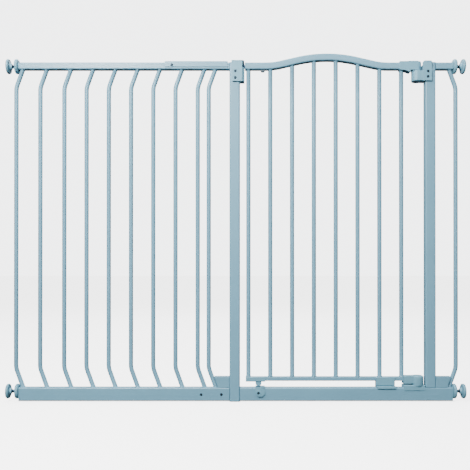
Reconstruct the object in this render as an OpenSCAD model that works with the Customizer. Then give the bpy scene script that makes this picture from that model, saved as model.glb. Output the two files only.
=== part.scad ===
// Pressure-fit pet gate: a door in a U-shaped frame, with a wide extension panel on its left.
// X runs to the right, Y away from the front, Z up. The origin is on the floor, at the middle.

/* [Gate] */
// Width from wall to wall, over the wall cups
overall_w = 1370; // [1350:1:1390]
// Height of the straight top rails
rail_top_z = 1013; // [980:1:1040]
// Distance between the centres of the latch post and the hinge post
post_pitch = 584; // [578:1:592]

/* [Tubes] */
// Width of a post
post_w = 31.5; // [30:0.5:32]
// Depth of a post and of the floor rails
post_d = 25; // [24:0.5:26]
// Height of a top rail
rail_h = 21; // [20:0.5:21.5]
// Depth of a top rail
rail_d = 22; // [21:0.5:22]
// Height of the top of the floor rails
floor_rail_z = 42; // [41.5:0.1:42.3]
// Wall thickness of the posts and rails
wall = 1.2; // [1:0.1:1.4]
// Diameter of the upright bars
bar_d = 13; // [12:0.5:13.5]
// Wall thickness of the bars
bar_wall = 1; // [0.8:0.1:1.2]

/* [Bends] */
// Lean of the ends of the bent bars
bend_a = 20; // [18:0.5:21]
// Radius of the bends in those bars
bend_r = 60; // [40:5:70]
// Steepest slope of the door's arched rail
arch_a = 13; // [12:0.5:13.5]
// Radius of the arch at its crown
crown_r = 392; // [380:1:400]
// Radius of the sweep at each foot of the arch
sweep_r = 209; // [200:1:215]

/* [Hinges] */
// Radius of the hinge pins
pin_r = 5; // [4.5:0.1:5.2]
// Radial clearance of every running fit
fit = 0.05; // [0.03:0.01:0.08]
// Radius of the hinge knuckles
knuckle_r = 17.5; // [17:0.1:17.8]

/* [Wall fixings] */
// Radius of the wall cups
cup_r = 22; // [21:0.5:22]
// Radius of the adjusting wheels
wheel_r = 22; // [20:0.5:22]
// Radius of the threaded spindles
spindle_r = 5; // [4.5:0.1:5]

/* [Hidden] */
$fn = 48;

// Colours
steel = "#a6bfca";
bright = "#b9ccd4";
moulded = "#9db7c2";
dark = "#26333d";
zinc = "#7b848a";

// Posts and rails
door_bars = 8;
panel_bars = 9;
half_w = overall_w / 2;
hinge_post_x = half_w - 104;
latch_post_x = hinge_post_x - post_pitch;
gate_x = (hinge_post_x + latch_post_x) / 2;
corner_r = 4;
post_r = 5;
post_y = post_d / 2;
rail_z = rail_top_z - rail_h / 2;
rail_bot_z = rail_top_z - rail_h;
foot_gap = 2;
floor_rail_h = floor_rail_z - foot_gap;
floor_rail_mid = foot_gap + floor_rail_h / 2;
top_end = half_w - 36;
low_end = half_w - 38;
flange = 3;
panel_top_x = latch_post_x - 68;
panel_low_x = latch_post_x - 70;

// Bars
bar_r = bar_d / 2;
side_bar_x = half_w - 26;
low_lean = 21;
top_lean = 19;
bend_t = bend_r * tan(bend_a / 2);
bend_z = [round(floor_rail_z + low_lean / tan(bend_a) + bend_t),
    round(rail_bot_z - top_lean / tan(bend_a) - bend_t)];
outer_pitch = 72;
first_bar_x = -half_w + 27;
last_bar_x = latch_post_x - 111;
panel_pitch = (last_bar_x - first_bar_x - 2 * outer_pitch) / (panel_bars - 3);
function panel_bar_x(i) = i < 3 ? first_bar_x + i * outer_pitch
    : first_bar_x + 2 * outer_pitch + (i - 2) * panel_pitch;

// Door
axis_x = hinge_post_x - 37;
door_x = latch_post_x + 30.6;
door_low_z = 61;
door_low_h = 13;
door_low_top = door_low_z + door_low_h;
sleeve_x = axis_x - 54;
block_x = axis_x - 44;
socket_x = axis_x - 22;
door_bar_x0 = door_x + 10.4;
door_pitch = (axis_x - 48 - door_bar_x0) / (door_bars - 1);
function door_bar_x(i) = door_bar_x0 + i * door_pitch;

// Arch, as heights above the straight rail along the door
arch_half = 184.6;
ramp = (arch_half - (sweep_r + crown_r) * sin(arch_a)) / cos(arch_a);
rise = (sweep_r + crown_r) * (1 - cos(arch_a)) + ramp * sin(arch_a);
arch_x = door_x + 60.4 + arch_half;
function arch_z(x) = let (
        d = abs(x - arch_x),
        crown_w = crown_r * sin(arch_a),
        e = arch_half - d)
    d >= arch_half ? 0
    : e < sweep_r * sin(arch_a) ? sweep_r - sqrt(sweep_r * sweep_r - e * e)
    : d < crown_w ? rise - crown_r + sqrt(crown_r * crown_r - d * d)
    : rise - crown_r * (1 - cos(arch_a)) - (d - crown_w) * tan(arch_a);
// Centre line of the arched rail from x0 to x1 about its middle, as [x, height, slope]
function arch_path(x0, x1) = let (n = 6, step = arch_a / n) concat([[x0, 0, 0]],
    [for (a = [0:step:arch_a]) [sweep_r * sin(a) - arch_half, sweep_r * (1 - cos(a)), a]],
    [for (a = [arch_a:-step:-arch_a - 0.001])
        [-crown_r * sin(a), rise - crown_r * (1 - cos(a)), a]],
    [for (a = [-arch_a:step:0.001]) [arch_half + sweep_r * sin(a), sweep_r * (1 - cos(a)), a]],
    [[x1, 0, 0]]);
function arch_slope(x) = abs(arch_z(x + 1) - arch_z(x - 1)) / 2;
function door_bar_top(i) = rail_bot_z + arch_z(door_bar_x(i)) + 2.2
    + bar_r * arch_slope(door_bar_x(i));

// Hinges and latch
cup_z = rail_top_z - 56.5;
cup_top = rail_top_z - 26;
sleeve_z = rail_top_z - 23;
knuckle_z = 46.7;
seat_z = 46.3;
face_y = -post_y - 5.5;
screw_r = 2;
hinge_screw_x = hinge_post_x - 8.5;
hinge_screw_z = [rail_top_z - 28.5, rail_top_z - 44.5];
latch_screw_x = latch_post_x + 1.7;
latch_screw_z = [rail_top_z - 28, rail_top_z - 48];
bolt_z = rail_top_z - 10.8;
bolt_h = 10;
catch_x = latch_post_x + 71;
catch_screw = [catch_x - 0.2, 26.5];
spring_x = [door_x + 60.4, door_x + 81.4];

// Wall fixings
upper_z = rail_z;
lower_z = 30;

// ---------------------------------------------------------------- shared shapes

module round_rect(w, h, r) {
    square([w, h - 2 * r], center = true);
    square([w - 2 * r, h], center = true);
    for (sx = [-1, 1], sy = [-1, 1])
        translate([sx * (w / 2 - r), sy * (h / 2 - r)]) circle(r);
}

module ring_rect(w, h, r, t) {
    difference() {
        round_rect(w, h, r);
        round_rect(w - 2 * t, h - 2 * t, max(r - t, 0.5));
    }
}

// Extrudes an outline, drawn as Y and Z, along X from x0 to x1
module along_x(x0, x1, z = 0)
    translate([x0, 0, z]) rotate([90, 0, 90]) linear_extrude(x1 - x0) children();

// Extrudes an outline, drawn as X and Z, along Y from y0 to y1
module along_y(y0, y1)
    translate([0, y1, 0]) rotate([90, 0, 0]) linear_extrude(y1 - y0) children();

module rail_tube(x0, x1)
    along_x(x0, x1, rail_z) ring_rect(rail_d, rail_h, corner_r, wall);

module floor_tube(x0, x1)
    along_x(x0, x1, floor_rail_mid) ring_rect(post_d, floor_rail_h, corner_r, wall);

// A post with a closed head
module post(x, z0)
    translate([x, 0, 0]) difference() {
        translate([0, 0, z0]) linear_extrude(rail_top_z - z0)
            round_rect(post_w, post_d, post_r);
        translate([0, 0, z0 - 1]) linear_extrude(rail_top_z - z0 - 1)
            round_rect(post_w - 2 * wall, post_d - 2 * wall, post_r - wall);
    }

module y_hole(x, z, r, y0, y1)
    translate([x, y1, z]) rotate([90, 0, 0]) cylinder(h = y1 - y0, r = r);

// Lower end of a bent bar: a bend that starts at the origin, then a rod leaning towards +X
module bent_end(r) {
    translate([bend_r, 0, 0]) rotate([90, 0, 0]) rotate([0, 0, 180])
        rotate_extrude(angle = bend_a, $fn = 180) translate([bend_r, 0])
            circle(r, $fn = 40);
    translate([bend_r * (1 - cos(bend_a)), 0, -bend_r * sin(bend_a)])
        rotate([0, 180 - bend_a, 0]) cylinder(h = 62, r = r, $fn = 40);
}

// Solid rod of a bent bar: upright at x = 0, with both ends leaning towards +X
module bent_rod(r) {
    translate([0, 0, bend_z[0]])
        cylinder(h = bend_z[1] - bend_z[0], r = r, $fn = 40);
    translate([0, 0, bend_z[0]]) bent_end(r);
    translate([0, 0, bend_z[1]]) mirror([0, 0, 1]) bent_end(r);
}

module bent_bar(x, side = 1)
    color(steel) translate([x, 0, 0]) mirror([side < 0 ? 1 : 0, 0, 0]) difference() {
        intersection() {
            bent_rod(bar_r);
            translate([-40, -20, floor_rail_z])
                cube([120, 40, rail_bot_z - floor_rail_z]);
        }
        bent_rod(bar_r - bar_wall);
    }

// Countersunk screw along Y, with its head at the front
module screw(x, z, y, len) {
    y_hole(x, z, screw_r, y, y + len);
    y_hole(x, z, 4, y - 1.6, y);
}

// ---------------------------------------------------------------- frame

module latch_post() color(steel) difference() {
    post(latch_post_x, 0);
    for (z = latch_screw_z) y_hole(latch_screw_x, z, screw_r + fit, -post_y - 1, 0);
}

module hinge_post() color(steel) difference() {
    post(hinge_post_x, floor_rail_z);
    for (z = hinge_screw_z) y_hole(hinge_screw_x, z, screw_r + fit, -post_y - 1, 0);
}

module threshold_rail() color(steel) difference() {
    floor_tube(latch_post_x + post_w / 2, low_end - flange);
    translate([axis_x, 0, floor_rail_z - 6]) cylinder(h = 12, r = 9.1);
    y_hole(catch_screw[0], catch_screw[1], screw_r + fit, -post_y - 1, 0);
}

module left_bottom_stub() color(steel) difference() {
    floor_tube(panel_low_x, latch_post_x - post_w / 2);
    y_hole(panel_low_x + 30, floor_rail_mid, screw_r + fit, -post_y - 1, 0);
}

module left_top_stub() color(steel) rail_tube(panel_top_x, latch_post_x - post_w / 2);

module right_top_stub() color(steel) rail_tube(hinge_post_x + post_w / 2, top_end - flange);

module side_bars() {
    bent_bar(side_bar_x, -1);
    bent_bar(2 * gate_x - side_bar_x, 1);
}

// Corner block outside the hinge post, its end cut parallel to the bent bar
module gusset(t) {
    h = 32;
    x0 = hinge_post_x + post_w / 2;
    x1 = side_bar_x - low_lean - bar_r / cos(bend_a) - 0.3;
    polygon([[x0 + t, floor_rail_z + t], [x1 - 1.5 * t, floor_rail_z + t],
        [x1 + h * tan(bend_a) - 1.3 * t, floor_rail_z + h - t],
        [x0 + t, floor_rail_z + h - t]]);
}

module post_gussets() color(steel) for (side = [0, 1])
    translate([gate_x, 0, 0]) mirror([side, 0, 0]) translate([-gate_x, 0, 0]) difference() {
        along_y(-post_y + 1.5, post_y - 1.5) gusset(0);
        along_y(-post_y + 3.5, post_y - 3.5) gusset(2);
    }

// Cover of the catch on the latch post. Its mouth is open towards the door and the front.
module latch_housing() {
    x0 = latch_post_x - 9.7;
    x1 = latch_post_x + 29;
    px = latch_post_x + post_w / 2;
    z0 = rail_top_z - 58;
    z1 = rail_top_z + 4.5;
    color(moulded) difference() {
        intersection() {
            translate([0, 0, z0]) linear_extrude(z1 - z0)
                polygon([[x0, -post_y], [x0, face_y + 1.2], [x0 + 1.2, face_y],
                    [x1 - 7, face_y], [x1, face_y + 7], [x1, post_y], [px, post_y],
                    [px, -post_y]]);
            along_y(face_y - 1, post_y + 1)
                polygon([[x0, z1], [x1 - 1.5, z1], [x1 + 1, z1 - 4], [x1 + 1, z0],
                    [x0 + 3, z0]]);
        }
        translate([x1 - 6.2, face_y - 1, bolt_z - bolt_h / 2 - 1])
            cube([20, 6.8 - face_y, bolt_h + 10]);
        for (z = latch_screw_z) {
            y_hole(latch_screw_x, z, screw_r + fit, face_y - 1, 0);
            y_hole(latch_screw_x, z, 4.3, face_y - 1, face_y + 2);
        }
    }
}

// Plate on the front of the hinge post, with the cup that holds the top pin
module hinge_bracket() {
    x0 = axis_x + 13;
    x1 = hinge_post_x + 3.5;
    px = hinge_post_x - post_w / 2;
    z1 = rail_top_z + 3;
    cup_h = cup_top - cup_z;
    color(moulded) difference() {
        union() {
            along_y(face_y, -post_y) {
                translate([x0, cup_z]) square([x1 - x0, z1 - cup_z - 7]);
                translate([x0 + 7, cup_z]) square([x1 - x0 - 12, z1 - cup_z]);
                translate([x0 + 7, z1 - 7]) circle(7);
                translate([x1 - 5, cup_z]) square([5, z1 - cup_z - 5]);
                translate([x1 - 5, z1 - 5]) circle(5);
            }
            translate([axis_x, 0, cup_z]) rotate_extrude() {
                square([knuckle_r - 3, cup_h]);
                translate([0, 3]) square([knuckle_r, cup_h - 3]);
                translate([knuckle_r - 3, 3]) circle(3);
            }
            along_x(axis_x, x0 + 4, cup_z) {
                translate([-knuckle_r, 3]) square([knuckle_r, cup_h - 3]);
                translate([3 - knuckle_r, 0]) square([knuckle_r - 3, cup_h]);
                translate([3 - knuckle_r, 3]) circle(3);
            }
            translate([axis_x, -post_y, cup_z])
                cube([px - axis_x, 2 * post_y, cup_h]);
            translate([x0, -post_y, cup_z]) cube([px - x0, 2 * post_y, z1 - cup_z - 12]);
        }
        translate([axis_x, 0, cup_z + 3.5]) cylinder(h = 60, r = pin_r + fit);
        for (z = hinge_screw_z) {
            y_hole(hinge_screw_x, z, screw_r + fit, face_y - 1, 0);
            y_hole(hinge_screw_x, z, 4.3, face_y - 1, face_y + 2);
        }
    }
}

// Saddle over the threshold, with the seat and socket of the lower hinge
module lower_hinge_cam() {
    x0 = block_x;
    x1 = axis_x + 19.5;
    color(moulded) difference() {
        union() {
            along_x(x0, x1) polygon([[-post_y - 1.8, 34], [-post_y - 1.8, 48],
                [-post_y, 50], [post_y, 50], [post_y + 1.8, 48], [post_y + 1.8, 34],
                [post_y, 34], [post_y, floor_rail_z], [-post_y, floor_rail_z],
                [-post_y, 34]]);
            translate([axis_x, 0, 28]) cylinder(h = 20, r = 9);
        }
        translate([axis_x, 0, seat_z]) cylinder(h = 10, r = knuckle_r + 0.6);
        translate([axis_x, 0, 31]) cylinder(h = 30, r = pin_r + fit);
    }
}

// Boss on the threshold's front, with a groove that the foot's pin passes along
module floor_catch() {
    color(moulded) difference() {
        union() {
            y_hole(catch_x + 4, 30, 15, -post_y - 4.5, -post_y);
            y_hole(catch_screw[0], catch_screw[1], 8, -post_y - 5.5, -post_y);
            translate([catch_x - 9, -post_y - 4.5, floor_rail_z])
                cube([28, post_y + 12.5, 3]);
        }
        translate([catch_x - 6, -post_y - 6, floor_rail_z + 0.7])
            cube([12, post_y + 11.5, 6]);
        y_hole(catch_screw[0], catch_screw[1], screw_r + fit, -post_y - 7, 0);
        y_hole(catch_screw[0], catch_screw[1], 4.3, -post_y - 7, -post_y - 3.5);
    }
}

module fixing_screws() color(dark) {
    for (z = latch_screw_z) screw(latch_screw_x, z, face_y + 2, 10);
    for (z = hinge_screw_z) screw(hinge_screw_x, z, face_y + 2, 10);
    screw(catch_screw[0], catch_screw[1], -post_y - 3.5, 10);
}

// ---------------------------------------------------------------- extension panel

module extension_top_rail() color(bright) difference() {
    rail_tube(-top_end + flange, panel_top_x);
    y_hole(latch_post_x - 188, rail_z + 1.5, screw_r + fit, -rail_d, 0);
}

module extension_bottom_rail() color(steel) difference() {
    floor_tube(-low_end + flange, panel_low_x);
    y_hole(panel_low_x - 30, floor_rail_mid, screw_r + fit, -post_y - 1, 0);
}

module extension_bar(i) bent_bar(panel_bar_x(i - 1), 1);

// Inverted channel that bridges the joint in the top rails
module connector_channel() color(bright) difference() {
    along_x(latch_post_x - 209, latch_post_x - 21) difference() {
        translate([0, rail_top_z - 6]) round_rect(rail_d + 4, 18, 2);
        translate([0, rail_z - 10]) square([rail_d, rail_h + 20], center = true);
    }
    y_hole(latch_post_x - 188, rail_z + 1.5, screw_r + fit, -rail_d, 0);
}

// Tube inside the floor rails, across their joint
module splice_insert() color(zinc) difference() {
    along_x(panel_low_x - 60, latch_post_x - 19, floor_rail_mid)
        ring_rect(post_d - 2 * wall - 0.1, floor_rail_h - 2 * wall - 0.1, 2.8, 1.5);
    for (s = [-1, 1])
        y_hole(panel_low_x + 30 * s, floor_rail_mid, screw_r + fit, -post_y - 1, 0);
}

module joining_screws() color(dark) {
    screw(latch_post_x - 188, rail_z + 1.5, -rail_d / 2 - 2, 10);
    for (s = [-1, 1]) screw(panel_low_x + 30 * s, floor_rail_mid, -post_y, 8);
}

// Guides of the spindles in the four rail ends
module rail_end_plugs() color(moulded) for (side = [0, 1]) mirror([side, 0, 0]) {
    difference() {
        union() {
            along_x(top_end - flange, top_end, rail_z)
                round_rect(rail_d + 1, rail_h, corner_r);
            along_x(top_end - 28, top_end - flange, rail_z)
                round_rect(rail_d - 2 * wall - 0.1, rail_h - 2 * wall - 0.1, 2.8);
        }
        along_x(top_end - 30, top_end + 1, upper_z) circle(spindle_r + fit);
    }
    difference() {
        union() {
            along_x(low_end - flange, low_end, floor_rail_mid)
                round_rect(post_d + 1, floor_rail_h, corner_r);
            along_x(low_end - 28, low_end - flange, floor_rail_mid)
                round_rect(post_d - 2 * wall - 0.1, floor_rail_h - 2 * wall - 0.1, 2.8);
        }
        along_x(low_end - 30, low_end + 1, lower_z) circle(spindle_r + fit);
    }
}

// ---------------------------------------------------------------- door

// The whole arched rail as a solid of height h and depth d
module arch_rail(x0, x1, h, d) {
    path = arch_path(x0 - arch_x, x1 - arch_x);
    side = [for (t = [h / 2, -h / 2]) [for (p = path)
        [p[0] - t * sin(p[2]), p[1] + t * cos(p[2])]]];
    along_y(-d / 2, d / 2) translate([arch_x, rail_z]) polygon(concat(side[0],
        [for (i = [len(path) - 1:-1:0]) side[1][i]]));
}

module door_top_rail() color(bright) difference() {
    arch_rail(door_x + 2.4, socket_x, rail_h, rail_d);
    arch_rail(door_x, socket_x + 2, rail_h - 2 * wall, rail_d - 2 * wall);
    for (i = [0:door_bars - 1]) translate([door_bar_x(i), 0, rail_bot_z - 10])
        cylinder(h = door_bar_top(i) - rail_bot_z + 10, r = bar_r + fit, $fn = 40);
    translate([door_x + 48.4, -3.4, rail_bot_z - 2]) cube([19, 6.8, 6]);
}

module door_bottom_rail() color(steel)
    along_x(door_x + 3.9, axis_x - 30, door_low_z + door_low_h / 2)
        ring_rect(door_low_h, door_low_h, 3, wall);

module door_bar(i) color(steel)
    translate([door_bar_x(i - 1), 0, door_low_top]) difference() {
        cylinder(h = door_bar_top(i - 1) - door_low_top, r = bar_r, $fn = 40);
        translate([0, 0, -1]) cylinder(h = 2000, r = bar_r - bar_wall, $fn = 40);
    }

// Knuckle on the end of the arched rail, over the top pin
module hinge_sleeve() color(moulded) difference() {
    union() {
        intersection() {
            along_x(sleeve_x, axis_x, sleeve_z + 10.5) round_rect(24, 34, 2);
            along_y(-13, 13) polygon([[sleeve_x, sleeve_z], [sleeve_x + 13, sleeve_z],
                [axis_x - 22.5, sleeve_z - 6.5], [axis_x - 22.5, sleeve_z],
                [axis_x, sleeve_z], [axis_x, sleeve_z + 27.5],
                [axis_x - 22, sleeve_z + 27.5], [axis_x - 32, sleeve_z + 26],
                [sleeve_x, sleeve_z + 26]]);
        }
        translate([axis_x, 0, sleeve_z]) rotate_extrude() {
            square([12, 22.5]);
            square([7, 27.5]);
            translate([7, 22.5]) circle(5);
        }
        translate([axis_x, 0, cup_top + 0.6]) cylinder(h = 3, r = 12);
    }
    translate([door_bar_x(door_bars - 1), 0, sleeve_z - 1])
        cylinder(h = 10, r = bar_r + fit, $fn = 40);
    along_x(sleeve_x - 1, socket_x, rail_z)
        square([rail_d + 2 * fit, rail_h + 2 * fit], center = true);
    translate([axis_x, 0, cup_top - 1]) cylinder(h = 26, r = pin_r + fit);
}

// Knuckle on the door's lower corner, over the lower pin
module lower_hinge_block() color(moulded) difference() {
    union() {
        along_x(block_x, axis_x) translate([0, 65.2]) round_rect(22, 23.6, 2);
        translate([axis_x, 0, 0]) rotate_extrude()
            polygon([[0, knuckle_z], [knuckle_r, knuckle_z], [knuckle_r, 74],
                [knuckle_r - 3, 77], [0, 77]]);
    }
    along_x(block_x - 1, axis_x - 30, door_low_z + door_low_h / 2)
        round_rect(door_low_h + 2 * fit, door_low_h + 2 * fit, 3);
    translate([axis_x, 0, knuckle_z - 1]) cylinder(h = 24.3, r = pin_r + fit);
    translate([door_bar_x(door_bars - 1), 0, door_low_top - 1])
        cylinder(h = 10, r = bar_r + fit, $fn = 40);
}

// Clip under the door's bottom rail, with a lip in front of the threshold
module door_stopper() {
    x0 = axis_x - 125;
    color(moulded) difference() {
        union() {
            along_x(x0, x0 + 55) polygon([[8, 73], [8, 43], [-9.5, 43], [-9.5, 48.3],
                [-11.8, 48.3], [-11.8, 72], [-10.8, 73]]);
            along_x(x0 + 2, x0 + 58) polygon([[-9.4, 43.2], [-13.2, 43.2], [-13.2, 39],
                [-15, 38], [-16.5, 39.5], [-16.5, 45], [-15.3, 46.4], [-9.4, 46.4]]);
        }
        along_x(x0 - 1, x0 + 59) translate([0, door_low_z + 10])
            square([door_low_h, 20], center = true);
    }
}

// Moulding under the latch corner of the door, with the pin that drops into the catch
module door_foot() color(moulded) {
    difference() {
        along_x(door_x + 2.4, door_x + 60) translate([0, 66]) round_rect(16, 14, 2);
        along_x(door_x + 3.9, door_x + 61) translate([0, door_low_z + 10])
            square([door_low_h, 20], center = true);
    }
    along_y(-5, 5) polygon([[catch_x - 9, 60], [catch_x - 8.5, 51], [catch_x - 4.5, 46.5],
        [catch_x + 4.5, 46.5], [catch_x + 8.5, 51], [catch_x + 9, 60]]);
    translate([catch_x, 0, 43.8]) cylinder(h = 3, r = 3);
}

// Guide in the latch end of the arched rail, with a channel for the bolt and its spring
module latch_guide() {
    z0 = rail_bot_z + 3.6;
    z1 = rail_top_z - 2.5;
    color(moulded) difference() {
        union() {
            along_x(door_x, door_x + 2.4, rail_z) round_rect(rail_d, rail_h, corner_r);
            along_x(door_x + 2.4, spring_x[1] + 3)
                translate([0, (z0 + z1) / 2]) square([18, z1 - z0], center = true);
        }
        along_x(door_x - 1, spring_x[1])
            translate([0, bolt_z]) square([10.4, bolt_h + 0.4], center = true);
        translate([door_x + 48.4, -3.4, z0 - 1]) cube([19, 6.8, 5]);
    }
}

module top_hinge_pin() color(zinc)
    translate([axis_x, 0, cup_z + 4]) cylinder(h = 50.5, r = pin_r);

module lower_hinge_pin() color(zinc)
    translate([axis_x, 0, 31.5]) cylinder(h = 38, r = pin_r);

// Square bolt with a sloping tip, which the catch pushes back as the door closes
module latch_bolt() color(zinc) translate([0, 0, bolt_z - bolt_h / 2]) linear_extrude(bolt_h)
    polygon([[door_x - 6.6, -5], [spring_x[0], -5], [spring_x[0], 5], [door_x - 2, 5],
        [door_x - 6.6, 0.5]]);

// Thumb slide under the arched rail
module release_button() color(dark) {
    translate([door_x + 49, -3, rail_bot_z - 0.5])
        cube([10, 6, bolt_z - bolt_h / 2 - rail_bot_z + 0.5]);
    along_y(-6, 6) polygon([[door_x + 47.5, rail_bot_z - 0.4],
        [door_x + 47.5, rail_bot_z - 3], [door_x + 50, rail_bot_z - 5.5],
        [door_x + 57, rail_bot_z - 5.5], [door_x + 59.5, rail_bot_z - 3],
        [door_x + 59.5, rail_bot_z - 0.4]]);
}

// Coil that pushes the bolt into the catch
module latch_spring() {
    turns = 6;
    steps = 14;
    sides = 8;
    coil_r = 3.8;
    wire_r = 0.5;
    len = spring_x[1] - spring_x[0] - 2 * wire_r;
    n = turns * steps;
    points = [for (i = [0:n], k = [0:sides - 1]) let (
        a = 360 * i / steps,
        b = 360 * k / sides,
        r = coil_r + wire_r * cos(b))
        [spring_x[0] + wire_r + len * i / n + wire_r * sin(b), r * cos(a),
            bolt_z + r * sin(a)]];
    faces = [for (i = [0:n - 1], k = [0:sides - 1]) let (m = (k + 1) % sides)
        [i * sides + m, i * sides + k, (i + 1) * sides + k, (i + 1) * sides + m]];
    color(zinc) polyhedron(points, concat(faces, [[for (k = [0:sides - 1]) k]],
        [[for (k = [sides - 1:-1:0]) n * sides + k]]));
}

// ---------------------------------------------------------------- wall fixings

module at_corner(side, z) translate([0, 0, z]) mirror([side < 0 ? 1 : 0, 0, 0]) children();

module turned(x) translate([x, 0, 0]) rotate([0, 90, 0]) rotate_extrude($fn = 64) children();

module spindle(side, z, end) color(dark) at_corner(side, z)
    translate([end - 39, 0, 0]) rotate([0, 90, 0])
        cylinder(h = half_w - 4 - end + 39, r = spindle_r);

module wall_cup(side, z) color(moulded) at_corner(side, z) difference() {
    turned(half_w) polygon([[0, 0], [cup_r, 0], [cup_r, -5.5], [cup_r - 2, -8],
        [12, -8.6], [8.5, -10], [8, -15], [0, -15]]);
    translate([half_w - 16, 0, 0]) rotate([0, 90, 0]) cylinder(h = 12, r = spindle_r);
}

module wheel(side, z, end) color(moulded) at_corner(side, z) difference() {
    turned(end + 0.3) polygon([[0, 0], [11, 0], [wheel_r - 3.5, 1.3], [wheel_r - 1, 2.7],
        [wheel_r, 4.6], [wheel_r, 8.4], [wheel_r - 1.2, 10.2], [wheel_r - 3.5, 11],
        [12, 9.6], [9, 11], [0, 11]]);
    translate([end - 1, 0, 0]) rotate([0, 90, 0]) cylinder(h = 20, r = spindle_r + fit);
}

latch_post();
hinge_post();
threshold_rail();
left_bottom_stub();
left_top_stub();
right_top_stub();
side_bars();
post_gussets();
latch_housing();
hinge_bracket();
lower_hinge_cam();
floor_catch();
fixing_screws();
extension_top_rail();
extension_bottom_rail();
extension_bar(1);  // extension_bar_1
extension_bar(2);  // extension_bar_2
extension_bar(3);  // extension_bar_3
extension_bar(4);  // extension_bar_4
extension_bar(5);  // extension_bar_5
extension_bar(6);  // extension_bar_6
extension_bar(7);  // extension_bar_7
extension_bar(8);  // extension_bar_8
extension_bar(9);  // extension_bar_9
connector_channel();
splice_insert();
joining_screws();
rail_end_plugs();
door_top_rail();
door_bottom_rail();
door_bar(1);  // door_bar_1
door_bar(2);  // door_bar_2
door_bar(3);  // door_bar_3
door_bar(4);  // door_bar_4
door_bar(5);  // door_bar_5
door_bar(6);  // door_bar_6
door_bar(7);  // door_bar_7
door_bar(8);  // door_bar_8
hinge_sleeve();
lower_hinge_block();
door_stopper();
door_foot();
latch_guide();
top_hinge_pin();
lower_hinge_pin();
latch_bolt();
release_button();
latch_spring();
spindle(-1, upper_z, top_end);  // spindle_upper_left
wall_cup(-1, upper_z);  // wall_cup_upper_left
wheel(-1, upper_z, top_end);  // wheel_upper_left
spindle(-1, lower_z, low_end);  // spindle_lower_left
wall_cup(-1, lower_z);  // wall_cup_lower_left
wheel(-1, lower_z, low_end);  // wheel_lower_left
spindle(1, upper_z, top_end);  // spindle_upper_right
wall_cup(1, upper_z);  // wall_cup_upper_right
wheel(1, upper_z, top_end);  // wheel_upper_right
spindle(1, lower_z, low_end);  // spindle_lower_right
wall_cup(1, lower_z);  // wall_cup_lower_right
wheel(1, lower_z, low_end);  // wheel_lower_right
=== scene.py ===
import math

import bmesh
import bpy
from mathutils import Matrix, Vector, noise


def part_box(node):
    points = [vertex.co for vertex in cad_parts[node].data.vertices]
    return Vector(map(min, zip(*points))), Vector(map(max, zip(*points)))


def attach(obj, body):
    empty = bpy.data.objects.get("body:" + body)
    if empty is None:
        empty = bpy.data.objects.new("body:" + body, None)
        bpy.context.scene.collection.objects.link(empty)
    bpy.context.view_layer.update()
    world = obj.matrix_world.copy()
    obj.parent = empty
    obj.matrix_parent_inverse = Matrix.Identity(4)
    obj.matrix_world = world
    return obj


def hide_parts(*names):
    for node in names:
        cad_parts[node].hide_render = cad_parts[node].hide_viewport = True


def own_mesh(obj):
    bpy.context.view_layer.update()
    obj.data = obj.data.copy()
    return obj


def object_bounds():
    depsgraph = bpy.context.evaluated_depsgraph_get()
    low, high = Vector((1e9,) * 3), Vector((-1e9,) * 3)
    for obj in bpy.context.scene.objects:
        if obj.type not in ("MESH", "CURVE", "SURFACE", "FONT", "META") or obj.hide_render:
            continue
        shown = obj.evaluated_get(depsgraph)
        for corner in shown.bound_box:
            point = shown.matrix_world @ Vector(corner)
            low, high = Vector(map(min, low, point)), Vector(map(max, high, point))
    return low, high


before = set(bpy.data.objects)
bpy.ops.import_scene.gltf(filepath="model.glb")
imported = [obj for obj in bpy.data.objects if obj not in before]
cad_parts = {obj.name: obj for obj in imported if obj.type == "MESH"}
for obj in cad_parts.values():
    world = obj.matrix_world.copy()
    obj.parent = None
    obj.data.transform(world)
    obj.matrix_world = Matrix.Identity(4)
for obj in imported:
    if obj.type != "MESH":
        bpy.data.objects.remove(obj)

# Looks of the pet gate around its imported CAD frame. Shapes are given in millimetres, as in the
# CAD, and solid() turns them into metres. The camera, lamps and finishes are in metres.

LOW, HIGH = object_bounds()
TAU = 2 * math.pi


def box(node):
    """Lowest and highest corner of a CAD node, in millimetres."""
    lo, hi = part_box(node)
    return lo * 1000, hi * 1000


# ---------------------------------------------------------------- materials

# Scales of the noise that every finish shares, in waves to a metre
BROAD_TONE, BLOTCH, WEAR_PATCH, BRUSH_MARK = 7.0, 90.0, 160.0, 240.0
# How bright each kind of mark is against the base colour: specks, brush marks, worn edges with a
# painted highlight, and painted shade in corners
SPECK_SHADE, BRUSH_SHADE, WORN_HIGHLIGHT_SHADE, PAINTED_SHADE_TONE = 0.72, 0.6, 1.35, 0.5
SPECK_SHARE = 0.16
COAT_ROUGHNESS, WORN_POLISH = 0.22, 0.08
# In metres: how far the painted corner shade reaches out of a corner, and the heights of the fine
# and broad bumps
SHADE_REACH, PEEL_HEIGHT, WAVE_HEIGHT = 0.012, 0.0004, 0.0008


def colour(r, g, b):
    """An sRGB colour as linear RGBA."""
    c = [v / 255 for v in (r, g, b)]
    return [v / 12.92 if v < 0.04045 else ((v + 0.055) / 1.055) ** 2.4 for v in c] + [1.0]


def shade(c, f):
    """A colour made f times as bright."""
    return [min(1.0, v * f) for v in c[:3]] + [1.0]


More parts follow.
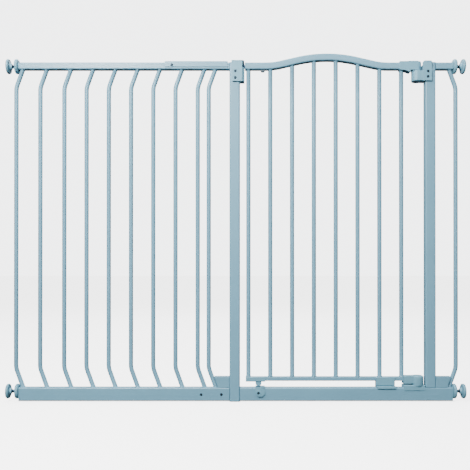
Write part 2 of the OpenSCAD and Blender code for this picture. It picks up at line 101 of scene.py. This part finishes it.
def material(name, base, rough, metal=0.0, coat=0.0, mottle=0.1, grain=1100.0, depth=0.10,
             wear_and_highlight=0.35, worn=None, edge=0.0009, streak=0.0, corner_shade=0.0):
    """A finish with mottling, surface grain and softened edges, whose edges are worn and carry a
    painted highlight, with painted shade in its corners.

    grain is the finest noise's scale, depth its bump and edge the radius of the worn, highlit
    edges. streak adds brush marks along Z, and the corner darkening is painted shade from ambient
    occlusion.
    """
    m = bpy.data.materials.new(name)
    m.use_nodes = True
    m.diffuse_color = base
    nodes, links = m.node_tree.nodes, m.node_tree.links
    bsdf = nodes["Principled BSDF"]
    bsdf.inputs["Metallic"].default_value = metal
    if coat:
        bsdf.inputs["Coat Weight"].default_value = coat
        bsdf.inputs["Coat Roughness"].default_value = COAT_ROUGHNESS

    def node(kind, **values):
        n = nodes.new("ShaderNode" + kind)
        for k, v in values.items():
            if k in n.inputs:
                n.inputs[k].default_value = v
            else:
                setattr(n, k, v)
        return n

    def noise_of(scale, detail, roughness, stretch=None):
        n = node("TexNoise", Scale=scale, Detail=detail, Roughness=roughness)
        if stretch:
            mapping = node("Mapping")
            mapping.inputs["Scale"].default_value = stretch
            links.new(place.outputs["Object"], mapping.inputs["Vector"])
            links.new(mapping.outputs["Vector"], n.inputs["Vector"])
        else:
            links.new(place.outputs["Object"], n.inputs["Vector"])
        return n.outputs["Fac"]

    def span(value, a, b, c, d):
        """A value's range from a to b spread over c to d."""
        n = node("MapRange", clamp=True)
        for k, v in zip(("From Min", "From Max", "To Min", "To Max"), (a, b, c, d)):
            n.inputs[k].default_value = v
        links.new(value, n.inputs["Value"])
        return n.outputs["Result"]

    def maths(op, a, b):
        n = node("Math", operation=op)
        for i, v in enumerate((a, b)):
            if isinstance(v, (int, float)):
                n.inputs[i].default_value = v
            else:
                links.new(v, n.inputs[i])
        return n.outputs[0]

    def mix(fac, a, b):
        n = node("Mix", data_type="RGBA")
        links.new(fac, n.inputs[0])
        for i, v in ((6, a), (7, b)):
            if isinstance(v, list):
                n.inputs[i].default_value = v
            else:
                links.new(v, n.inputs[i])
        return n.outputs[2]

    place = node("TexCoord")
    broad = noise_of(BROAD_TONE, 4.0, 0.6)
    blotch = noise_of(BLOTCH, 3.0, 0.55)
    speck = noise_of(grain, 2.0, 0.5)
    tone = mix(span(broad, 0.3, 0.7, 0, 1), shade(base, 1 - mottle), shade(base, 1 + mottle))
    tone = mix(span(blotch, 0.35, 0.7, 0, mottle * 1.6), tone, shade(base, 1 + 1.6 * mottle))
    tone = mix(span(speck, 0.3, 0.75, 0, SPECK_SHARE), tone, shade(base, SPECK_SHADE))
    if streak:
        brushed = noise_of(BRUSH_MARK, 2.0, 0.6, (1.0, 1.0, 0.06))
        tone = mix(span(brushed, 0.3, 0.7, 0, streak), tone, shade(base, BRUSH_SHADE))

    soft = node("Bevel", samples=6)
    soft.inputs["Radius"].default_value = edge
    shape = node("NewGeometry")
    dot = node("VectorMath", operation="DOT_PRODUCT")
    links.new(soft.outputs["Normal"], dot.inputs[0])
    links.new(shape.outputs["Normal"], dot.inputs[1])
    # Edges lighten in patches: worn paint, and partly a painted edge highlight
    worn_highlit_edges = span(dot.outputs["Value"], 0.995, 0.82, 0, 1)
    patches = span(noise_of(WEAR_PATCH, 4.0, 0.7), 0.38, 0.62, 0.25, 1)
    worn_highlit_patches = maths("MULTIPLY", worn_highlit_edges, patches)
    tone = mix(maths("MULTIPLY", worn_highlit_patches, wear_and_highlight), tone, worn or shade(base, WORN_HIGHLIGHT_SHADE))
    # Painted shade: corners and creases darken where ambient occlusion finds them
    if corner_shade:
        occlusion = node("AmbientOcclusion", samples=4, Distance=SHADE_REACH)
        painted_shade = span(occlusion.outputs["AO"], 0.75, 0.2, 0, corner_shade)
        tone = mix(painted_shade, tone, shade(base, PAINTED_SHADE_TONE))
    links.new(tone, bsdf.inputs["Base Color"])

    gloss = span(blotch, 0.25, 0.75, rough - 0.06, rough + 0.07)
    gloss = maths("SUBTRACT", gloss, maths("MULTIPLY", worn_highlit_patches, WORN_POLISH))
    links.new(gloss, bsdf.inputs["Roughness"])

    peel = node("Bump", Strength=depth, Distance=PEEL_HEIGHT)
    links.new(speck, peel.inputs["Height"])
    links.new(soft.outputs["Normal"], peel.inputs["Normal"])
    wave = node("Bump", Strength=depth * 0.8, Distance=WAVE_HEIGHT)
    links.new(blotch, wave.inputs["Height"])
    links.new(peel.outputs["Normal"], wave.inputs["Normal"])
    links.new(wave.outputs["Normal"], bsdf.inputs["Normal"])
    return m


PAINT = colour(112, 164, 188)
# The coat, the plastic and the pads carry painted shade in their corners
COAT = material("powder_coat_duck_egg", PAINT, 0.40, coat=0.15, mottle=0.05, corner_shade=0.35)
PLASTIC = material("moulded_plastic_duck_egg", colour(112, 166, 188), 0.46, mottle=0.05,
                   grain=700.0, depth=0.16, wear_and_highlight=0.3, edge=0.0011, corner_shade=0.4)
PAD = material("grey_rubber_pad", colour(92, 122, 136), 0.7, mottle=0.12, grain=500.0,
               depth=0.3, wear_and_highlight=0.2, corner_shade=0.3)
THUMB = material("dark_plastic_slide", colour(78, 98, 110), 0.5, mottle=0.15, grain=800.0,
                 depth=0.2, wear_and_highlight=0.4, worn=colour(118, 134, 142))
SCREW = material("blackened_screw", colour(44, 60, 72), 0.42, metal=0.7, mottle=0.2,
                 grain=1500.0, wear_and_highlight=0.6, worn=colour(120, 130, 136), edge=0.0004)
SPINDLE = material("blued_steel_thread", colour(40, 62, 82), 0.36, metal=0.85, mottle=0.18,
                   grain=1600.0, wear_and_highlight=0.6, worn=colour(120, 132, 142), edge=0.0003,
                   streak=0.2)
ZINC = material("zinc_plated_steel", colour(150, 155, 158), 0.32, metal=0.95, mottle=0.12,
                grain=1300.0, wear_and_highlight=0.4, worn=colour(200, 202, 204), edge=0.0004, streak=0.35)


# ---------------------------------------------------------------- mesh helpers


def loft(rings, closed=False):
    """Skin over rings of points that all have the same number, capped unless it closes."""
    n, m = len(rings[0]), len(rings)
    faces = []
    for i in range(m if closed else m - 1):
        a, b = i * n, (i + 1) % m * n
        faces += [(a + k, a + (k + 1) % n, b + (k + 1) % n, b + k) for k in range(n)]
    if not closed:
        faces += [tuple(reversed(range(n))), tuple(range((m - 1) * n, m * n))]
    return [p for r in rings for p in r], faces


CORNER_STEPS = 5


def rounded(w, h, r):
    """Outline of a rectangle with round corners."""
    out = []
    for k, (sx, sy) in enumerate(((1, 1), (-1, 1), (-1, -1), (1, -1))):
        for i in range(CORNER_STEPS + 1):
            a = math.radians(90 * k + 90 * i / CORNER_STEPS)
            out.append((sx * (w / 2 - r) + r * math.cos(a), sy * (h / 2 - r) + r * math.sin(a)))
    return out


def solid(parts):
    """A bmesh in metres of lofted parts in millimetres."""
    bm = bmesh.new()
    for points, faces in parts:
        verts = [bm.verts.new([c / 1000 for c in p]) for p in points]
        for f in faces:
            bm.faces.new([verts[i] for i in f])
    bmesh.ops.recalc_face_normals(bm, faces=bm.faces)
    return bm


def into_scene(name, bm):
    """An object with the bmesh's mesh, which uses the bmesh up."""
    mesh = bpy.data.meshes.new(name)
    bm.to_mesh(mesh)
    bm.free()
    o = bpy.data.objects.new(name, mesh)
    bpy.context.scene.collection.objects.link(o)
    return o


def make(name, parts, finish, body, nodes=(), sharp=38):
    """One piece from lofted parts, smooth apart from edges steeper than sharp degrees."""
    bm = solid(parts)
    for f in bm.faces:
        f.smooth = True
    for e in bm.edges:
        e.smooth = e.calc_face_angle(0) < math.radians(sharp)
    o = into_scene(name, bm)
    o.data.materials.append(finish)
    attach(o, body)
    if nodes:
        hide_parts(*nodes)
    return o


# Weld at a bar's end: height over the rail, and how far it stands out from the bar there
WELD = ((0.0, 1.5), (0.5, 1.35), (1.1, 0.8), (1.7, 0.25), (2.3, 0.0))
RIPPLE, RIPPLES = 0.28, 4.5


def bead(c, s, salt):
    """A weld's ripple at the cosine and sine of an angle round it."""
    return RIPPLE * noise.noise(Vector((c * RIPPLES + salt, s * RIPPLES, salt * 1.7)))


ROUND = 32
CIRCLE = [(math.cos(TAU * k / ROUND), math.sin(TAU * k / ROUND)) for k in range(ROUND)]


# ---------------------------------------------------------------- bars

BEND_R, BEND_A = 60.0, math.radians(20)
BEND_STEPS, STRAIGHT_STEPS = 8, 8
BEND_OUT, BEND_RISE = BEND_R * (1 - math.cos(BEND_A)), BEND_R * math.sin(BEND_A)
LOW_BEND, HIGH_BEND = 68, 63    # from a bar's ends to its straight middle


def bent_bar(x0, side, r, low, high, salt):
    """A bar whose two ends lean towards side, with a weld at each end."""
    bends = low + LOW_BEND, high - HIGH_BEND

    def flat(z, grow):
        """A level ring where the bar leans, for its ends."""
        end = bends[0] - BEND_RISE if z < bends[0] else bends[1] + BEND_RISE
        x = x0 + side * (BEND_OUT + abs(z - end) * math.tan(BEND_A))
        ring = []
        for c, s in CIRCLE:
            ripple = bead(c, s, salt) if grow else 0
            ring.append((x + (r + grow) * c / math.cos(BEND_A) + ripple * c,
                         (r + grow + ripple) * s, z))
        return ring

    def square(x, z, tilt):
        """A ring square to the bar."""
        return [(x + r * c * math.cos(tilt), r * s, z - r * c * math.sin(tilt)) for c, s in CIRCLE]

    def bend(z, up, a):
        """The ring at angle a of the bend that leads up, or down if up is -1, from height z."""
        return square(x0 + side * BEND_R * (1 - math.cos(a)), z + up * BEND_R * math.sin(a),
                      up * side * a)

    angles = [BEND_A * i / BEND_STEPS for i in range(BEND_STEPS + 1)]
    rings = [flat(low + d, g) for d, g in WELD]
    rings += [bend(bends[0], -1, a) for a in reversed(angles)]
    rings += [square(x0, bends[0] + (bends[1] - bends[0]) * i / STRAIGHT_STEPS, 0)
              for i in range(1, STRAIGHT_STEPS)]
    rings += [bend(bends[1], 1, a) for a in angles]
    rings += [flat(high - d, g) for d, g in reversed(WELD)]
    return loft(rings)


for i in range(1, 10):
    name = f"extension_bar_{i}"
    lo, hi = box(name)
    r = (hi.y - lo.y) / 2
    make(f"panel_bar_{i}", [bent_bar(lo.x + r, 1, r, lo.z, hi.z, i * 1.3)], COAT,
         "frame", [name])
lo, hi = box("side_bars")
r = (hi.y - lo.y) / 2
make("outer_bars", [bent_bar(lo.x + r, 1, r, lo.z, hi.z, 3.1),
                    bent_bar(hi.x - r, -1, r, lo.z, hi.z, 7.7)], COAT,
     "frame", ["side_bars"])

# ---------------------------------------------------------------- arched rail

# Half the arch's width, the radii at its foot and its crown, and their angle
ARCH_HALF, SWEEP_R, CROWN_R, ARCH_A = 184.6, 209.0, 392.0, math.radians(13)
# The straight before the arch, and how much of its end the last ring before the arch leaves
ARCH_START, ARCH_LEAD = 58, 20
# Length of the straight ramp between the two radii, and the height of the crown over the ends
RAMP = (ARCH_HALF - (SWEEP_R + CROWN_R) * math.sin(ARCH_A)) / math.cos(ARCH_A)
RISE = (SWEEP_R + CROWN_R) * (1 - math.cos(ARCH_A)) + RAMP * math.sin(ARCH_A)
ARCH_STEPS = 14
TUBE_WALL, TUBE_CORNER = 1.2, 4.0
rail_lo, rail_hi = box("left_top_stub")
rail_z = (rail_lo.z + rail_hi.z) / 2
rail_h = rail_hi.z - rail_lo.z
rail_d = rail_hi.y - rail_lo.y
arch_lo, arch_hi = box("door_top_rail")
arch_x = arch_lo.x + ARCH_START + ARCH_HALF


def arch_path():
    """Centre line of the arched rail, as x, height over its ends and slope."""
    out = [(arch_lo.x, 0, 0), (arch_x - ARCH_HALF - ARCH_LEAD, 0, 0)]
    n = ARCH_STEPS
    for i in range(n + 1):
        a = ARCH_A * i / n
        out.append((arch_x - ARCH_HALF + SWEEP_R * math.sin(a), SWEEP_R * (1 - math.cos(a)), a))
    for i in range(2 * n + 1):
        a = ARCH_A * (1 - i / n)
        out.append((arch_x - CROWN_R * math.sin(a), RISE - CROWN_R * (1 - math.cos(a)), a))
    for i in range(n + 1):
        a = -ARCH_A * (1 - i / n)
        out.append((arch_x + ARCH_HALF + SWEEP_R * math.sin(a), SWEEP_R * (1 - math.cos(a)), a))
    return out + [(arch_hi.x, 0, 0)]


ARCH = arch_path()


def underside(x):
    """Height of the arched rail's underside."""
    pts = [(px + rail_h / 2 * math.sin(a), rail_z + pz - rail_h / 2 * math.cos(a))
           for px, pz, a in ARCH]
    for a, b in zip(pts, pts[1:]):
        if a[0] <= x <= b[0] and b[0] > a[0]:
            return a[1] + (b[1] - a[1]) * (x - a[0]) / (b[0] - a[0])
    return pts[0][1]


def arch_skin(w, h, r):
    """Rings of a rounded outline along the arch."""
    return [[(px - v * math.sin(a), u, rail_z + pz + v * math.cos(a)) for u, v in rounded(w, h, r)]
            for px, pz, a in ARCH]


outer = arch_skin(rail_d, rail_h, TUBE_CORNER)
inner = arch_skin(rail_d - 2 * TUBE_WALL, rail_h - 2 * TUBE_WALL, TUBE_CORNER - TUBE_WALL)
arch = make("arched_rail", [loft(outer + inner[::-1], closed=True)], COAT, "door",
            ["door_top_rail"])

# Slot in its underside, which the release slide runs in: half its width, the run of its straight
# sides, where it begins along the slide, and the cut's heights over the rail's underside
SLOT_R, SLOT_RUN, SLOT_IN, SLOT_CUT = 3.4, 12.2, 0.9, (-3, 4)
slot_x = box("release_button")[0].x + SLOT_IN + SLOT_R
turn = [(SLOT_R * math.sin(math.pi * t / 10), SLOT_R * math.cos(math.pi * t / 10))
        for t in range(11)]
outline = [(-u, v) for u, v in turn] + [(SLOT_RUN + u, -v) for u, v in turn]
cutter = into_scene("slot_cut", solid([loft([[(slot_x + u, v, z) for u, v in outline]
                                             for z in (rail_lo.z + h for h in SLOT_CUT)])]))
cut = arch.modifiers.new("slot", "BOOLEAN")
cut.object, cut.operation, cut.solver = cutter, "DIFFERENCE", "EXACT"
bpy.context.view_layer.update()
made = bpy.data.meshes.new_from_object(arch.evaluated_get(bpy.context.evaluated_depsgraph_get()))
arch.modifiers.clear()
arch.data = made
made.name = "arched_rail"
bpy.data.objects.remove(cutter)

# ---------------------------------------------------------------- door bars and latch spring

IN_RAIL = 1.0    # how far a door bar runs up into the arched rail
BAR_FOOT, BAR_HEAD, BAR_STEPS = 4, 12, 10    # where a door bar's plain rings begin and end
FLAT_FOOT = 0.6    # how far a weld may stand out from the thin bottom rail's front


def door_bar(x0, r, low, high, salt):
    """An upright whose foot is welded to a level rail and whose head follows the arch."""
    rings = []
    for d, g in WELD:
        deep = r + min(g, 1.0) * FLAT_FOOT
        rings.append([(x0 + (r + g + (bead(c, s, salt + 20) if g else 0)) * c, deep * s, low + d)
                      for c, s in CIRCLE])
    for k in range(1, BAR_STEPS):
        z = low + BAR_FOOT + (high - BAR_FOOT - BAR_HEAD - low) * k / BAR_STEPS
        rings.append([(x0 + r * c, r * s, z) for c, s in CIRCLE])
    for d, g in reversed(WELD):
        ring = []
        for c, s in CIRCLE:
            wide = r + g + (bead(c, s, salt + 40) if g else 0)
            ring.append((x0 + wide * c, wide * s, underside(x0 + wide * c) - d))
        rings.append(ring)
    rings.append([(x, y, z + IN_RAIL) for x, y, z in rings[-1]])
    return loft(rings)


for i in range(1, 9):
    name = f"door_bar_{i}"
    lo, hi = box(name)
    make(f"door_upright_{i}", [door_bar((lo.x + hi.x) / 2, (hi.x - lo.x) / 2, lo.z, hi.z, i)],
         COAT, "door", [name])

WIRE_R, COILS = 0.5, 6
WIRE_ROUND, COIL_STEPS = 12, 28    # points round the wire, and rings to a coil


def coil(lo, hi):
    """A spring along X that fills the box from lo to hi."""
    coil_r, coil_z = (hi.z - lo.z) / 2 - WIRE_R, (hi.z + lo.z) / 2
    length, steps = hi.x - lo.x - 2 * WIRE_R, COILS * COIL_STEPS
    rings = []
    for i in range(steps + 1):
        a = TAU * i / COIL_STEPS
        x = lo.x + WIRE_R + length * i / steps
        ring = []
        for k in range(WIRE_ROUND):
            b = TAU * k / WIRE_ROUND
            r = coil_r + WIRE_R * math.cos(b)
            ring.append((x + WIRE_R * math.sin(b), r * math.cos(a), coil_z + r * math.sin(a)))
        rings.append(ring)
    return loft(rings)


# The spring behind the bolt moves with it, on a mesh of its own
lo, hi = box("latch_spring")
spring = make("bolt_spring", [coil(lo, hi)], ZINC, "latch", ["latch_spring"])
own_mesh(spring)

# ---------------------------------------------------------------- wall fixings


def turned(profile, x0, sign, z0, closed=False, n=72, ripple=None):
    """A revolved outline of (radius, distance along X) about an axis along X."""
    rings = []
    for r, d in profile:
        ring = []
        for k in range(n):
            a = TAU * k / n
            rr = r + (ripple(a, r) if ripple else 0)
            ring.append((x0 + sign * d, rr * math.cos(a), z0 + rr * math.sin(a)))
        rings.append(ring)
    return loft(rings, closed=closed)


PITCH, THREAD_DEPTH = 1.5, 0.75
THREAD_ROUND, RINGS_TO_PITCH = 24, 6
RUN_OUT, CHAMFER = 1.5, 0.4    # length over which the thread fades, and how far its tip narrows


def thread(x0, x1, sign, z0, r):
    """A threaded rod along X from x0 outwards to x1, both as distances from the middle."""
    rings, x = [], x0
    while x < x1:
        fade = min(1.0, (x1 - x) / RUN_OUT, (x - x0) / RUN_OUT)
        point = CHAMFER * (1 - fade) if x > x1 - RUN_OUT else 0
        ring = []
        for k in range(THREAD_ROUND):
            a = TAU * k / THREAD_ROUND
            t = (x / PITCH + k / THREAD_ROUND) % 1.0
            rr = r - THREAD_DEPTH * fade * abs(2 * t - 1) - point
            ring.append((sign * x, rr * math.cos(a), z0 + rr * math.sin(a)))
        rings.append(ring)
        x += PITCH / RINGS_TO_PITCH
    return loft(rings)


NOTCHES, NOTCH_DEPTH, NOTCH_FROM = 18, 0.75, 20.5    # the last is the radius they begin at


def notches(a, r):
    """Grip notches round a wheel's rim."""
    if r < NOTCH_FROM:
        return 0
    return -NOTCH_DEPTH * max(0.0, math.cos(NOTCHES * a)) ** 3


# Outlines as radius and distance along the axis: outwards from the wheel's inner face, and from
# the wall inwards for the cup and its pad
WHEEL = [(5.05, 0.4), (5.4, 0.0), (10.6, 0.0), (12.0, 0.25), (15.0, 0.7), (18.0, 1.25),
         (19.8, 1.9), (21.0, 2.8), (21.7, 3.7), (22.0, 4.8), (22.0, 6.2), (22.0, 7.6),
         (21.7, 8.9), (21.0, 9.9), (20.0, 10.6), (18.9, 10.95), (17.9, 10.8),
         (16.8, 10.2), (14.0, 9.7), (12.0, 9.6), (10.4, 10.1), (9.6, 10.8), (8.8, 11.0),
         (5.4, 11.0), (5.05, 10.6)]
CUP = [(5.0, -4.2), (0.4, -4.2), (0.4, -1.4), (20.6, -1.4), (21.6, -1.5), (22.0, -2.0),
       (22.0, -4.9), (21.8, -5.9), (21.2, -6.9), (20.2, -7.7), (19.0, -7.95), (18.0, -7.7),
       (17.0, -7.8), (13.0, -8.3), (11.0, -8.8), (9.6, -9.5), (8.7, -10.6), (8.2, -12.6),
       (8.0, -14.2), (7.5, -14.9), (6.9, -15.0), (5.4, -15.0), (5.0, -14.6)]
FOOT = [(0.0, 0.0), (19.6, 0.0), (20.4, -0.15), (20.7, -0.5), (20.7, -1.1), (20.4, -1.4),
        (0.0, -1.4)]
for corner in ("upper_left", "lower_left", "upper_right", "lower_right"):
    sign = -1 if corner.endswith("left") else 1
    body = "spindle_" + corner
    lo, hi = box(body)
    z0, r = (lo.z + hi.z) / 2, (hi.z - lo.z) / 2
    x0, x1 = sorted((abs(lo.x), abs(hi.x)))
    wheel_x = sign * min(abs(p.x) for p in box("wheel_" + corner))
    wall_x = sign * max(abs(p.x) for p in box("wall_cup_" + corner))
    make("threaded_" + corner, [thread(x0, x1, sign, z0, r)], SPINDLE, body,
         [body], sharp=50)
    make("grip_" + corner,
         [turned(WHEEL, wheel_x, sign, z0, closed=True, n=144, ripple=notches)],
         PLASTIC, "wheel_" + corner, ["wheel_" + corner], sharp=50)
    make("cup_" + corner, [turned(CUP, wall_x, sign, z0, closed=True)],
         PLASTIC, body, ["wall_cup_" + corner], sharp=50)
    make("pad_" + corner, [turned(FOOT, wall_x, sign, z0)], PAD, body, sharp=50)

# ---------------------------------------------------------------- screws

SHANK_R, SCREW_ROUND = 1.98, 36
# Outline of the head, from the shank to the floor of its socket: radius, height over its seat, and
# whether it is six-sided there
HEAD = ((SHANK_R, 0, False), (3.85, 0, False), (4.0, 0.2, False), (4.0, 0.7, False),
        (3.7, 1.15, False), (3.0, 1.45, False), (2.35, 1.6, False),
        (2.2, 1.45, True), (2.1, 0.5, True), (1.0, 0.25, True))


def screw(x, y, z, length=9.0):
    """A domed screw with a six-sided socket. y is the seat of its head, which faces -Y."""
    rings = []
    for radius, height, six in ((SHANK_R, -length, False),) + HEAD:
        ring = []
        for k in range(SCREW_ROUND):
            a = TAU * k / SCREW_ROUND
            rr = radius
            if six:
                rr *= math.cos(math.pi / 6) / math.cos(a % (math.pi / 3) - math.pi / 6)
            ring.append((x + rr * math.cos(a), y - height, z + rr * math.sin(a)))
        rings.append(ring)
    return loft(rings)


# Seats of the frame's screws: across from the post's middle, and heights below the post's top
HOUSING_X, HOUSING_H = 1.7, (28, 48)
BRACKET_X, BRACKET_H = -8.5, (28.5, 44.5)
CATCH_X, CATCH_Z, CATCH_Y = 70.8, 26.5, -3.5
HEAD_DEPTH = 1.6
# Screws of the joints between the extension and the gate: along the channel and over the middle
# of its rail, to each side of the floor rails' joint, and their shorter length
CHANNEL_X, CHANNEL_Z, JOINT_X, JOINT_SCREW = 21, 1.5, 30, 7.5
post_lo, post_hi = box("latch_post")
post_x = (post_lo.x + post_hi.x) / 2
hinge_x = sum(p.x for p in box("hinge_post")) / 2
seat_y = box("fixing_screws")[0].y + HEAD_DEPTH
make("frame_screws",
     [screw(post_x + HOUSING_X, seat_y, post_hi.z - h) for h in HOUSING_H]
     + [screw(hinge_x + BRACKET_X, seat_y, post_hi.z - h) for h in BRACKET_H]
     + [screw(post_x + CATCH_X, post_lo.y + CATCH_Y, CATCH_Z)],
     SCREW, "frame", ["fixing_screws"], sharp=42)
channel_lo = box("connector_channel")[0]
joint_x = box("left_bottom_stub")[0].x
joint_z = sum(p.z for p in box("splice_insert")) / 2
make("joint_screws",
     [screw(channel_lo.x + CHANNEL_X, channel_lo.y, rail_z + CHANNEL_Z)]
     + [screw(joint_x + JOINT_X * s, post_lo.y, joint_z, length=JOINT_SCREW) for s in (-1, 1)],
     SCREW, "frame", ["joining_screws"], sharp=42)

# ---------------------------------------------------------------- finishes of the CAD nodes

FINISH = {
    COAT: ["latch_post", "hinge_post", "threshold_rail", "left_bottom_stub", "left_top_stub",
           "right_top_stub", "post_gussets", "extension_top_rail", "extension_bottom_rail",
           "connector_channel", "door_bottom_rail"],
    PLASTIC: ["latch_housing", "hinge_bracket", "lower_hinge_cam", "floor_catch",
              "rail_end_plugs", "hinge_sleeve", "lower_hinge_block", "door_stopper",
              "door_foot", "latch_guide"],
    ZINC: ["splice_insert", "top_hinge_pin", "lower_hinge_pin"],
    SPINDLE: ["latch_bolt"],
    THUMB: ["release_button"],
}
for finish, names in FINISH.items():
    for name in names:
        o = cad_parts[name]
        o.data.materials.clear()
        o.data.materials.append(finish)


# Angles up to which faces are one plane, and from which an edge is hard
FLAT_ANGLE, HARD_ANGLE = math.radians(0.6), math.radians(32)


def soften(name, width):
    """Rounds a CAD node's hard edges with modifiers, which leave its own mesh as it is."""
    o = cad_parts[name]
    o.modifiers.new("weld", "WELD").merge_threshold = 1e-5
    flat = o.modifiers.new("flat", "DECIMATE")
    flat.decimate_type, flat.angle_limit = "DISSOLVE", FLAT_ANGLE
    b = o.modifiers.new("bevel", "BEVEL")
    b.width, b.segments, b.limit_method = width / 1000, 3, "ANGLE"
    b.angle_limit, b.use_clamp_overlap, b.harden_normals = HARD_ANGLE, True, False


for name, width in (("latch_housing", 1.0), ("hinge_bracket", 0.9), ("lower_hinge_cam", 0.6),
                    ("floor_catch", 0.5), ("hinge_sleeve", 1.0), ("lower_hinge_block", 0.8),
                    ("door_stopper", 0.6), ("door_foot", 0.6), ("post_gussets", 0.8),
                    ("release_button", 0.4)):
    soften(name, width)

# ---------------------------------------------------------------- studio

FLOOR_HALF, FLOOR_DROP = 30, 0.0005    # half its width, and its gap below the gate
FLOOR_VALUE, FLOOR_GRAIN, FLOOR_SPREAD = 0.93, 30, 0.01
FLOOR_GLOW, SKY_GLOW = 3.7, 4.6


def floor_finish():
    """A pale matt floor that glows, so that it blends into the backdrop."""
    m = bpy.data.materials.new("studio_floor")
    m.use_nodes = True
    nodes, links = m.node_tree.nodes, m.node_tree.links
    bsdf = nodes["Principled BSDF"]
    for k, v in (("Roughness", 0.8), ("Specular IOR Level", 0.2),
                 ("Emission Strength", FLOOR_GLOW), ("Emission Color", (1.0, 1.0, 1.0, 1.0))):
        bsdf.inputs[k].default_value = v
    grain = nodes.new("ShaderNodeTexNoise")
    grain.inputs["Scale"].default_value = FLOOR_GRAIN
    ramp = nodes.new("ShaderNodeMapRange")
    ramp.inputs["To Min"].default_value = FLOOR_VALUE - FLOOR_SPREAD
    ramp.inputs["To Max"].default_value = FLOOR_VALUE + FLOOR_SPREAD
    links.new(grain.outputs["Fac"], ramp.inputs["Value"])
    links.new(ramp.outputs["Result"], bsdf.inputs["Base Color"])
    return m


mesh = bpy.data.meshes.new("floor")
mesh.from_pydata([(x * FLOOR_HALF, y * FLOOR_HALF, 0)
                  for x, y in ((-1, -1), (1, -1), (1, 1), (-1, 1))], [], [(0, 1, 2, 3)])
mesh.materials.append(floor_finish())
floor = bpy.data.objects.new("floor", mesh)
bpy.context.scene.collection.objects.link(floor)
floor.location.z = LOW.z - FLOOR_DROP
floor.visible_diffuse = False
floor.visible_glossy = False


def lamp(name, place, aim, size, watts, tint=(1, 1, 1)):
    """A round soft lamp at place that points at aim."""
    data = bpy.data.lights.new(name, "AREA")
    data.shape, data.size, data.energy, data.color = "DISK", size, watts, tint
    o = bpy.data.objects.new(name, data)
    bpy.context.scene.collection.objects.link(o)
    o.location = place
    o.rotation_euler = (Vector(aim) - Vector(place)).to_track_quat("-Z", "Y").to_euler()


lamp("key", (-0.8, -1.9, 1.9), (0.05, 0, 0.75), 0.7, 112, (1.0, 0.975, 0.95))
lamp("fill", (0.6, -3.6, 1.7), (0.1, 0, 0.5), 2.0, 30, (0.95, 0.975, 1.0))
lamp("top", (-0.3, -0.6, 3.2), (0, 0, 0.9), 1.2, 40)
lamp("back", (0, 2.7, 3.1), (0, 0, 0.6), 2.0, 95, (0.97, 0.98, 1.0))

# The object is lit by a sky that brightens upwards, and the camera sees an even backdrop
world = bpy.data.worlds.new("studio")
bpy.context.scene.world = world
world.use_nodes = True
wn, wl = world.node_tree.nodes, world.node_tree.links
backdrop = wn["Background"]
where = wn.new("ShaderNodeTexCoord")
split = wn.new("ShaderNodeSeparateXYZ")
wl.new(where.outputs["Generated"], split.inputs[0])
sky = wn.new("ShaderNodeMapRange")
for k, v in (("From Min", -0.3), ("From Max", 0.8), ("To Min", 0.05), ("To Max", 0.55)):
    sky.inputs[k].default_value = v
wl.new(split.outputs["Z"], sky.inputs["Value"])
path = wn.new("ShaderNodeLightPath")
pick = wn.new("ShaderNodeMix")
wl.new(path.outputs["Is Camera Ray"], pick.inputs[0])
wl.new(sky.outputs["Result"], pick.inputs[2])
pick.inputs[3].default_value = SKY_GLOW
wl.new(pick.outputs[0], backdrop.inputs["Strength"])
backdrop.inputs["Color"].default_value = (0.98, 0.99, 1.0, 1.0)

# ---------------------------------------------------------------- camera

# The small shift frames the gate as the photograph does, and lets the camera stay nearly level
cam = bpy.data.cameras.new("camera")
cam.lens, cam.sensor_width = 51.1, 36.0
cam.shift_x, cam.shift_y = -0.0016, 0.0642
camera = bpy.data.objects.new("camera", cam)
bpy.context.scene.collection.objects.link(camera)
camera.location = (0, -2.0, 0.4)
camera.rotation_euler = (math.radians(90.2), 0, 0)
bpy.context.scene.camera = camera
